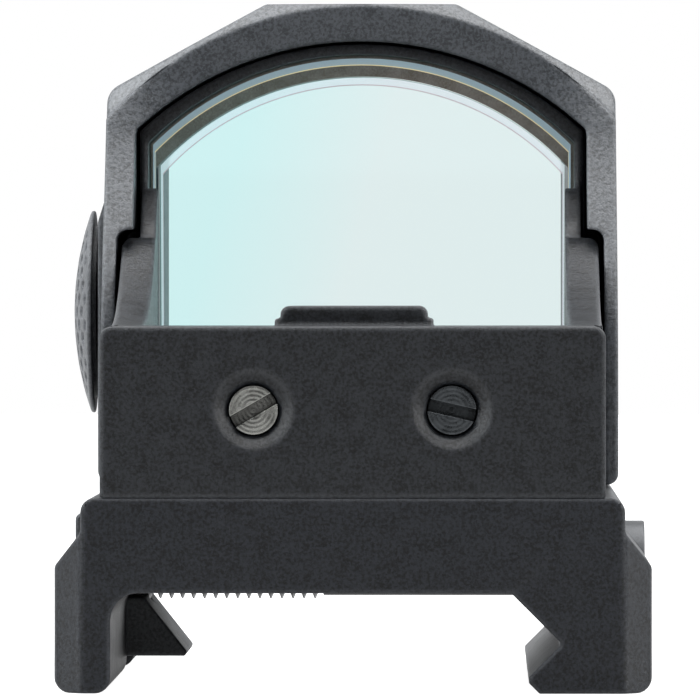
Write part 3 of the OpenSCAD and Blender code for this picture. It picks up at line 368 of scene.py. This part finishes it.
def clean_copy(node):
    """The CAD node's mesh, welded, with its flat faces merged."""
    bm = bmesh.new()
    bm.from_mesh(nodes[node].data)
    bmesh.ops.remove_doubles(bm, verts=bm.verts, dist=WELD)
    bmesh.ops.dissolve_degenerate(bm, edges=bm.edges, dist=TINY)
    bmesh.ops.dissolve_limit(bm, angle_limit=math.radians(FLAT_ANGLE), verts=bm.verts, edges=bm.edges)
    bmesh.ops.connect_verts_concave(bm, faces=bm.faces[:])
    return bm


def round_edges(bm, width, angle, segments, wanted=None):
    """Rounds the edges over angle degrees, or those of them that are wanted, by width millimetres."""
    edges = [e for e in bm.edges if e.is_manifold and e.calc_face_angle(0) > math.radians(angle)
             and (wanted is None or wanted(e))]
    bmesh.ops.bevel(bm, geom=edges, offset=width * MM, offset_type="OFFSET", segments=segments,
                    profile=0.5, affect="EDGES", clamp_overlap=False, miter_outer="ARC", spread=width * MM)


def refined(name, node, finish, body, slot, width):
    """A copy of a CAD node with softly rounded edges."""
    bm = clean_copy(node)
    surface = BVHTree.FromBMesh(bm)
    round_edges(bm, width, EDGE_ANGLE, 3)
    # a rounded edge stays close to the CAD surface: a corner that ran away is put back on it
    for v in bm.verts:
        near, _, _, distance = surface.find_nearest(v.co)
        if distance > 0.5 * width * MM:
            v.co = near
    # and nothing passes the node's own box
    lowest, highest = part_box(node)
    for v in bm.verts:
        v.co = [min(max(c, lo), hi) for c, lo, hi in zip(v.co, lowest, highest)]
    bmesh.ops.dissolve_degenerate(bm, edges=bm.edges, dist=TINY)
    mesh = bpy.data.meshes.new(name)
    bm.to_mesh(mesh)
    bm.free()
    mesh.materials.append(finish)
    finish_mesh(mesh, SMOOTH_ANGLE)
    obj = show(name, mesh)
    normals = obj.modifiers.new("normals", "WEIGHTED_NORMAL")
    normals.keep_sharp = True
    normals.weight = 60
    return place_piece(obj, body, slot, node)


def loft(rows, count):
    """Faces between rows of count points each, every row closed on itself."""
    return [(i * count + k, i * count + (k + 1) % count, (i + 1) * count + (k + 1) % count, (i + 1) * count + k)
            for i in range(rows - 1) for k in range(count)]


def caps(rows, count):
    """The faces that close a loft's first and last rows."""
    return [tuple(range(count)), tuple((rows - 1) * count + k for k in range(count))]


def tube(points, radius, sides=10):
    """Verts and faces of a round wire along points, with rounded ends."""
    verts = []
    up = Vector((0, 0, 1))
    count = len(points)
    rings = []
    for i, p in enumerate(points):
        ahead = Vector(points[min(i + 1, count - 1)]) - Vector(points[max(i - 1, 0)])
        ahead.normalize()
        side = ahead.cross(up if abs(ahead.z) < 0.9 else Vector((1, 0, 0))).normalized()
        rings.append((Vector(p), ahead, side, side.cross(ahead)))
    stations = [(0, -0.9, 0.45), (0, -0.6, 0.8)] + [(i, 0, 1) for i in range(count)] \
        + [(count - 1, 0.6, 0.8), (count - 1, 0.9, 0.45)]
    for i, along, share in stations:
        p, ahead, side, top = rings[i]
        for k in range(sides):
            a = 2 * math.pi * k / sides
            verts.append(p + ahead * (along * radius) + (side * math.cos(a) + top * math.sin(a)) * (radius * share))
    return verts, loft(len(stations), sides) + caps(len(stations), sides)


def coil_points(start, axis, radius, length, turns, closed=0.75, per_turn=40):
    """Points of a compression spring whose end turns lie flat."""
    axis = Vector(axis)
    side = axis.orthogonal().normalized()
    other = axis.cross(side)
    points = []
    total = int((turns + 2 * closed) * per_turn)
    for i in range(total + 1):
        turn = i / per_turn
        share = min(max((turn - closed) / turns, 0), 1)
        a = 2 * math.pi * turn
        points.append(Vector(start) + axis * (length * share)
                      + (side * math.cos(a) + other * math.sin(a)) * radius)
    return points


def springs(name, coils, body, slot, node):
    """One piece of coils, each a start, an axis, a radius, a wire radius, a length and a number of free turns."""
    verts, faces = [], []
    for start, axis, radius, wire, length, turns in coils:
        start = Vector(start) + Vector(axis) * wire
        v, f = tube(coil_points(start, axis, radius, length - 2 * wire, turns), wire)
        faces += [tuple(i + len(verts) for i in face) for face in f]
        verts += v
    return mesh_piece(name, verts, faces, SPRING_STEEL, body, slot, node, sharp=60)


def along(axis, distance):
    """A point distance millimetres along an axis from the origin, in metres."""
    return tuple(distance * MM * a for a in axis)


def make_springs():
    """The coils that hold the jaw open and take the play out of the two adjusters."""
    x_axis, z_axis = (1, 0, 0), (0, 0, 1)

    low, length, wire = -12.57, 5.05, 0.15
    places = [(low, BOLT_Y + side * JAW_SPRING_OFFSET, JAW_SPRING_Z) for side in (-1, 1)]
    coils = springs("clamp_springs", [(place, x_axis, 0.62, wire, length, 6) for place in places],
                    None, "bright_steel", "jaw_springs")
    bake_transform(coils)

    low, length, wire = 9.61, 2.78, 0.17
    coils = springs("elevation_coil", [((0, ADJUST_Y, low), z_axis, 1.45, wire, length, 3)],
                    None, "bright_steel", "elevation_spring")
    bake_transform(coils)

    fixed_end = (-8.99, -8.85, LOCK_Z)
    coils = springs("windage_coil", [(fixed_end, x_axis, 0.5, 0.12, 5.98, 8)],
                    "sight", "bright_steel", "windage_spring")
    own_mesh(coils)


# --------------------------------------------------------------------- lens

# The kinds of surface of a lens element, as places in its list of materials.
POLISHED, BEVEL, SIDE, LINE = range(4)


def lens_edge(grow, steps=48):
    """Points x, z round the lens outline grown by grow (side, arch) millimetres, clockwise from the lower left."""
    half, radius = LENS_HALF + grow[0], LENS_RADIUS + grow[1]
    bottom = LENS_LOW_Z - min(grow[0], 0)
    corner = math.sqrt(radius ** 2 - half ** 2)
    start = math.atan2(corner, half)
    arc = [(-radius * math.cos(start + (math.pi - 2 * start) * i / steps),
            LENS_CENTRE_Z + radius * math.sin(start + (math.pi - 2 * start) * i / steps)) for i in range(steps + 1)]
    return [(-half, bottom)] + arc + [(half, bottom)]


def on_lens(x, z, depth):
    return (x, LENS_BASE_Y + depth / math.cos(LENS_TILT) - (z - LENS_LOW_Z) * math.tan(LENS_TILT), z)


def lens_rows(layers):
    """The points of outline layers, each a growth and a depth, and how many points a layer has."""
    rows = [[on_lens(x, z, depth) for x, z in lens_edge(grow)] for grow, depth in layers]
    return [point for row in rows for point in row], len(rows[0])


def lens_slab(layers):
    """Verts, faces and material numbers of a slab made of layers (grow, depth, kind of the band that follows)."""
    verts, count = lens_rows([layer[:2] for layer in layers])
    rows = len(layers)
    kinds = [layer[2] for layer in layers[:-1] for _ in range(count)] + [POLISHED, POLISHED]
    return verts, loft(rows, count) + caps(rows, count), kinds


def lens_ring(layers):
    """Verts and faces of a closed ring of layers (grow, depth), the last joined to the first."""
    verts, count = lens_rows(layers)
    last = (len(layers) - 1) * count
    closing = [(last + k, last + (k + 1) % count, (k + 1) % count, k) for k in range(count)]
    return verts, loft(len(layers), count) + closing


def make_lens():
    """Two cemented elements: the front one is smaller at the top, so a dark bond and a ground bevel show there; the
    bevel's white and glow are painted light.
    """
    middle, front = LENS_REAR, LENS_REAR + LENS_FRONT
    v, f, kinds = lens_slab([((-0.13, -0.4), 0.0, LINE), ((-0.11, -0.34), 0.05, BEVEL), ((0, 0), 0.3, SIDE),
                             ((0, 0), middle - 0.1, BEVEL), ((-0.1, -0.1), middle, POLISHED)])
    mesh_piece("lens_rear_glass", v, f, [GLASS, EDGE_CYAN, EDGE_SIDE, EDGE_YELLOW],
               "sight", "lens_glass", "lens_rear", sharp=20, kinds=kinds)
    v, f, kinds = lens_slab([((-0.3, -0.98), middle + 0.02, SIDE), ((-0.3, -0.98), front - 0.6, BEVEL),
                             ((-0.4, -1.34), front - 0.08, LINE), ((-0.42, -1.4), front, POLISHED)])
    mesh_piece("lens_front_glass", v, f, [GLASS, EDGE_WHITE, EDGE_SIDE, EDGE_PINK],
               "sight", "lens_glass", "lens_front", sharp=20, kinds=kinds)
    v, f = lens_ring([((0.18, 0.18), middle - 0.1), ((0.02, 0.02), middle + 0.02), ((-0.08, -0.94), middle + 0.05),
                      ((-0.08, -0.94), middle + 0.7), ((0.18, 0.18), middle + 0.9)])
    mesh_piece("lens_bond_ring", v, f, BOND, "sight", "bond_black", "lens_bond", sharp=30)


# --------------------------------------------------------------------- dial

def dial_pit(y, z):
    """Depth from 0 to 1 of the staggered pits between the studs of the dial's dome."""
    pitch, land = 1.45, 0.1
    wave = math.cos(2 * math.pi * y / pitch) * math.cos(2 * math.pi * z / pitch)
    level = min(max((wave - land) / (1 - land), 0), 1)
    return level * level * (3 - 2 * level)


def make_dial():
    dome, dip = 5.46, 0.4
    pits_end, pits_fade = 5.3, 0.5
    sag = DIAL_FLANGE_X - 0.03 - DIAL_TIP_X
    curve = (dome ** 2 + sag ** 2) / (2 * sag)
    around, rings = 240, 76
    # radius and x of each ring; the dome's rings get their x from its curve and its pits
    profile = [(dome * i / rings, None) for i in range(1, rings + 1)]
    profile += [(5.5, DIAL_FLANGE_X - 0.01), (5.56, DIAL_FLANGE_X + 0.02), (DIAL_RADIUS, DIAL_FLANGE_X + 0.07),
                (DIAL_RADIUS, DIAL_BACK_X - 0.04), (5.56, DIAL_BACK_X), (DIAL_NECK, DIAL_BACK_X),
                (DIAL_NECK, DIAL_SHAFT_X), (1.6, DIAL_SHAFT_X)]
    verts = [(DIAL_TIP_X + dip * dial_pit(0, 0), DIAL_Y, DIAL_Z)]
    for r, x in profile:
        for k in range(around):
            a = 2 * math.pi * k / around
            y, z = r * math.cos(a), r * math.sin(a)
            here = x
            if x is None:
                fade = min(max((pits_end - r) / pits_fade, 0), 1)
                here = DIAL_TIP_X + curve - math.sqrt(curve ** 2 - r ** 2) + dip * dial_pit(y, z) * fade
                here = min(here, DIAL_FLANGE_X - 0.005)
            verts.append((here, DIAL_Y + y, DIAL_Z + z))
    tip = [(0, 1 + k, 1 + (k + 1) % around) for k in range(around)]
    body = [tuple(1 + corner for corner in face) for face in loft(len(profile), around)]
    last = 1 + (len(profile) - 1) * around
    end = [tuple(last + k for k in range(around))]
    mesh_piece("dial_knob", verts, tip + body + end, DIAL, "dial", "dial_black", "brightness_dial", sharp=50)


# --------------------------------------------------------------------- bolt

def thread(x_low, x_high, root, per_turn=48):
    """Verts and faces of a helical thread along X, from the radius root up to the bolt's crest."""
    # share of the pitch and share of the height, over one tooth
    shape = [(0.0, 0.0), (0.14, 0.05), (0.28, 0.28), (0.45, 0.97), (0.5, 1.0), (0.55, 0.97), (0.72, 0.28), (0.86, 0.05)]
    steps = int((x_high - x_low) / BOLT_PITCH * per_turn)
    verts, faces = [], []
    span = len(shape)
    for i in range(steps + 1):
        a = 2 * math.pi * i / per_turn
        for share, height in shape:
            x = x_low + BOLT_PITCH * (i / per_turn + share - 0.5)
            r = root + (BOLT_CREST - root) * height if x_low < x < x_high else root
            x = min(max(x, x_low), x_high)
            verts.append((x, BOLT_Y + r * math.cos(a), BOLT_Z + r * math.sin(a)))
    for i in range(steps):
        for k in range(span - 1):
            faces.append((i * span + k, i * span + k + 1, (i + 1) * span + k + 1, (i + 1) * span + k))
    # the end of one turn's tooth meets the start of the next turn's
    for i in range(steps - per_turn):
        a, b = i * span + span - 1, (i + per_turn) * span
        faces.append((a, b, b + span, a + span))
    return verts, faces


def make_bolt():
    """The CAD bolt from its shank up, and a core with a real helical thread in place of its closed rings."""
    bm = clean_copy("cross_bolt")
    cut = bmesh.ops.bisect_plane(bm, geom=bm.verts[:] + bm.edges[:] + bm.faces[:], dist=1e-7,
                                 plane_co=((THREAD_HIGH_X - 0.05) * MM, 0, 0), plane_no=(-1, 0, 0), clear_outer=True)
    rim = [e for e in cut["geom_cut"] if isinstance(e, bmesh.types.BMEdge)]
    bmesh.ops.holes_fill(bm, edges=rim)
    head_x = 12 * MM
    round_edges(bm, 0.08, 30, 2, lambda e: min(v.co.x for v in e.verts) > head_x)
    head = bpy.data.meshes.new("cross_bolt_steel")
    bm.to_mesh(head)
    bm.free()
    head.materials.append(BOLT_STEEL)
    finish_mesh(head, SMOOTH_ANGLE)
    place_piece(show("cross_bolt_steel", head), "clamp_bolt", "black_steel", "cross_bolt")
    core = [(THREAD_LOW_X, 1.15), (THREAD_LOW_X + 0.2, BOLT_ROOT), (THREAD_HIGH_X, BOLT_ROOT)]
    around = 48
    angles = [2 * math.pi * k / around for k in range(around)]
    verts = [(x, BOLT_Y + r * math.cos(a), BOLT_Z + r * math.sin(a)) for x, r in core for a in angles]
    faces = loft(len(core), around) + caps(len(core), around)
    v, f = thread(THREAD_LOW_X + 0.15, THREAD_HIGH_X, BOLT_ROOT - 0.02)
    faces += [tuple(i + len(verts) for i in face) for face in f]
    mesh_piece("cross_bolt_thread", verts + v, faces, THREAD, "clamp_bolt", "black_steel", sharp=35)


# ------------------------------------------------------------------- object

refined("clamp_base", "mount_base", CLAMP, "sight", "clamp_black", 0.12)
refined("housing", "sight_body", HOUSING, "sight", "housing_black", 0.1)
refined("hood", "protective_hood", HOOD, "sight", "hood_black", 0.09)
refined("jaw", "clamp_jaw", JAW, "jaw", "jaw_black", 0.12)
refined("lock_screw_l", "lock_screw_left", BRIGHT_LEFT, "left_lock", "bright_steel", 0.05)
refined("lock_screw_r", "lock_screw_right", LOCK_STEEL_PAINTED_SHADE, "right_lock", "bright_steel", 0.05)
refined("elevation_adjuster", "elevation_screw", ADJUSTER_UP, "elevation_drive", "bright_steel", 0.05)
refined("windage_adjuster", "windage_screw", ADJUSTER_SIDE, "windage_drive", "bright_steel", 0.05)
refined("hood_fixing_screws", "hood_screws", BLACK_STEEL, "sight", "black_steel", 0.05)
refined("clamp_screws", "mount_screws", BLACK_STEEL, "sight", "black_steel", 0.06)
make_lens()
make_dial()
make_bolt()
make_springs()

CAD_FINISH = {
    "locating_pins": SPRING_STEEL, "battery_seal": RUBBER, "emitter_window": GLASS_PLAIN,
    "emitter_carriage": BRASS, "led_emitter": CERAMIC, "windage_slider": SLIDER_STEEL,
    "elevation_slider": SLIDER_STEEL, "circuit_board": BOARD, "board_screws": SPRING_STEEL,
    "battery": CELL, "battery_contact": BRASS, "battery_leaf": BRASS, "switch_board": BOARD,
    "dial_shaft": SPRING_STEEL, "wiper_disc": BRASS, "dial_clip": BLACK_STEEL, "dial_oring": RUBBER,
    "detent_leaf": SPRING_STEEL,
}
for node_name, node_finish in CAD_FINISH.items():
    cad = nodes[node_name]
    if not cad.material_slots:
        cad.data.materials.append(None)
    for material_slot in cad.material_slots:
        material_slot.material = node_finish


# ------------------------------------------------------------------- studio

def make_floor():
    """Pale paper that looks pure white to the camera and throws a softer light on the object."""
    shown, cast = 1.0, 0.4
    m, tree, out, place = material("floor_paper")
    tone = ramp(tree, noise(tree, place, 0.05, 2), [(0.3, grey(0.28)), (0.7, grey(0.31))])
    diffuse = add(tree, "ShaderNodeBsdfDiffuse", {"Color": tone}).outputs[0]
    seen = add(tree, "ShaderNodeLightPath").outputs["Is Camera Ray"]
    glow = math_node(tree, "ADD", math_node(tree, "MULTIPLY", seen, shown - cast), cast)
    emit = add(tree, "ShaderNodeEmission", {"Color": (1, 1, 1, 1), "Strength": glow}).outputs[0]
    total = add(tree, "ShaderNodeAddShader", {0: diffuse, 1: emit}).outputs[0]
    tree.links.new(total, out.inputs["Surface"])
    bm = bmesh.new()
    bmesh.ops.create_grid(bm, x_segments=4, y_segments=4, size=0.8)
    mesh = bpy.data.meshes.new("floor")
    bm.to_mesh(mesh)
    bm.free()
    mesh.materials.append(m)
    floor = show("floor", mesh)
    floor.location = (0, 0.1, FLOOR_Z * MM)


def aim(obj, place, target):
    obj.location = place
    obj.rotation_euler = (Vector(target) - Vector(place)).to_track_quat("-Z", "Y").to_euler()


def area_light(name, place, target, size, power, colour):
    data = bpy.data.lights.new(name, "AREA")
    data.shape = "RECTANGLE"
    data.size, data.size_y = size
    data.energy = power
    data.color = colour
    obj = show(name, data)
    aim(obj, place, target)
    obj.visible_camera = False


def make_lights():
    white, cool = (1, 1, 1), (0.95, 0.98, 1.0)
    base, middle = (0, 0, 0), (0, 0, 0.01)
    # name, place, target, size, power and colour
    area_light("top_box", (0.0, 0.02, 0.5), base, (0.5, 0.5), 3.8, white)
    area_light("back_box", (0.0, -0.3, 0.42), middle, (0.5, 0.3), 0.75, white)
    area_light("left_box", (-0.35, 0.0, 0.36), middle, (0.3, 0.3), 2.55, cool)
    area_light("right_box", (0.35, 0.0, 0.36), middle, (0.3, 0.3), 2.0, white)
    area_light("left_low", (-0.46, -0.22, 0.12), middle, (0.3, 0.3), 1.3, cool)
    area_light("right_low", (0.46, -0.2, 0.10), middle, (0.3, 0.3), 1.3, white)


def make_world():
    """A room that is dark behind the camera and bright beyond the object, seen as plain white."""
    dim, bright = 0.04, 1.2
    world = bpy.data.worlds.new("studio")
    bpy.context.scene.world = world
    world.use_nodes = True
    tree = world.node_tree
    tree.nodes.clear()
    out = tree.nodes.new("ShaderNodeOutputWorld")
    toward = add(tree, "ShaderNodeTexCoord").outputs["Generated"]
    parts = add(tree, "ShaderNodeSeparateXYZ", {0: toward})
    level = add(tree, "ShaderNodeMapRange", {"Value": parts.outputs["Y"], "From Min": -1.0, "From Max": 0.5,
                                             "To Min": dim, "To Max": bright}).outputs["Result"]
    room = add(tree, "ShaderNodeBackground", {"Color": (0.96, 0.98, 1.0, 1), "Strength": level}).outputs[0]
    seen = add(tree, "ShaderNodeBackground", {"Color": (1, 1, 1, 1), "Strength": 1.0}).outputs[0]
    is_camera = add(tree, "ShaderNodeLightPath").outputs["Is Camera Ray"]
    mix = add(tree, "ShaderNodeMixShader", {0: is_camera, 1: room, 2: seen}).outputs[0]
    tree.links.new(mix, out.inputs["Surface"])


def make_camera():
    """A long lens behind the sight, a little to its right and level with the lens's foot."""
    data = bpy.data.cameras.new("camera")
    data.lens = 431
    data.sensor_width = 36
    data.clip_start = 0.01
    data.clip_end = 20
    obj = show("camera", data)
    aim(obj, (0.0065, -0.449, 0.0159), (-0.00013, -0.019, 0.0125))
    bpy.context.scene.camera = obj


make_floor()
make_world()
make_camera()
make_lights()
bpy.context.scene.view_settings.view_transform = "Standard"
